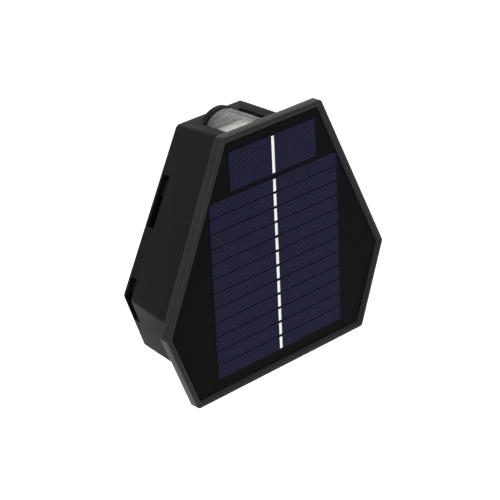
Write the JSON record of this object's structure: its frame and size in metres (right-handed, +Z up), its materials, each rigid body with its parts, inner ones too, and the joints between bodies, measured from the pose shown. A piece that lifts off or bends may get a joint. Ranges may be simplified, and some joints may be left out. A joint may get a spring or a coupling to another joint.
{
  "type": "fence light",
  "caption": "Hexagonal solar fence light with a panel in its front, a half-round lens in its top and underside, and a wall bracket with tabs in its back.",
  "frame": {"origin": "middle of the wall bracket's two screw holes, on the wall", "axes": "+Y into the wall, +Z up, +X to the right as seen from the front"},
  "size_m": [0.1078, 0.0339, 0.0967],
  "materials": {
    "black_plastic": "fine-textured black moulding",
    "bezel_plastic": "satin black moulding",
    "bracket_plastic": "plain black moulding",
    "seal_rubber": "grey silicone",
    "button_rubber": "black silicone",
    "clear_plastic": "clear polished",
    "reflector_plastic": "bright white",
    "panel_laminate": "black laminate",
    "solar_silicon": "dark blue cells under resin",
    "tinned_ribbon": "tinned",
    "contact_steel": "nickel plated",
    "screw_steel": "zinc plated",
    "adhesive_foam": "foam tape",
    "battery_sleeve": "steel can in a shrink sleeve",
    "holder_plastic": "plain black moulding",
    "wire_insulation": "smooth insulation",
    "circuit_laminate": "green solder mask",
    "led_laminate": "white solder mask",
    "led_phosphor": "phosphor in white packages",
    "component_plastic": "moulded packages",
    "plug_nylon": "natural nylon",
    "switch_plastic": "moulded switch"
  },
  "bodies": {
    "bracket": {"wall_bracket": "bracket_plastic"},
    "lamp": {"housing": "black_plastic", "housing_gasket": "seal_rubber", "housing_screws": "screw_steel", "front_bezel": "bezel_plastic", "panel_adhesive": "adhesive_foam", "panel_board": "panel_laminate", "solar_cells": "solar_silicon", "busbar_ribbons": "tinned_ribbon", "panel_terminals": "tinned_ribbon", "panel_leads": "wire_insulation", "battery_cell": "battery_sleeve", "battery_holder": "holder_plastic", "battery_contacts": "contact_steel", "battery_leads": "wire_insulation", "holder_screws": "screw_steel", "circuit_board": "circuit_laminate", "board_components": "component_plastic", "wire_connectors": "plug_nylon", "board_screws": "screw_steel", "switch_body": "switch_plastic", "top_led_leads": "wire_insulation", "bottom_led_leads": "wire_insulation", "top_lens": "clear_plastic", "top_lens_gasket": "seal_rubber", "top_reflector": "reflector_plastic", "top_led_board": "led_laminate", "top_leds": "led_phosphor", "top_lamp_screws": "screw_steel", "bottom_lens": "clear_plastic", "bottom_lens_gasket": "seal_rubber", "bottom_reflector": "reflector_plastic", "bottom_led_board": "led_laminate", "bottom_leds": "led_phosphor", "bottom_lamp_screws": "screw_steel"},
    "button": {"mode_button": "button_rubber", "switch_plunger": "switch_plastic"}
  },
  "joints": [
    {"name": "lamp_lift", "type": "slide", "parent": "bracket", "child": "lamp", "axis": [0, 0, 1], "range_m": [0, 0.009]},
    {"name": "button_press", "type": "slide", "parent": "lamp", "child": "button", "axis": [0, 0, 1], "range_m": [0, 0.0008], "stiffness_N_per_m": 1500, "springref_m": -0.0003}
  ]
}
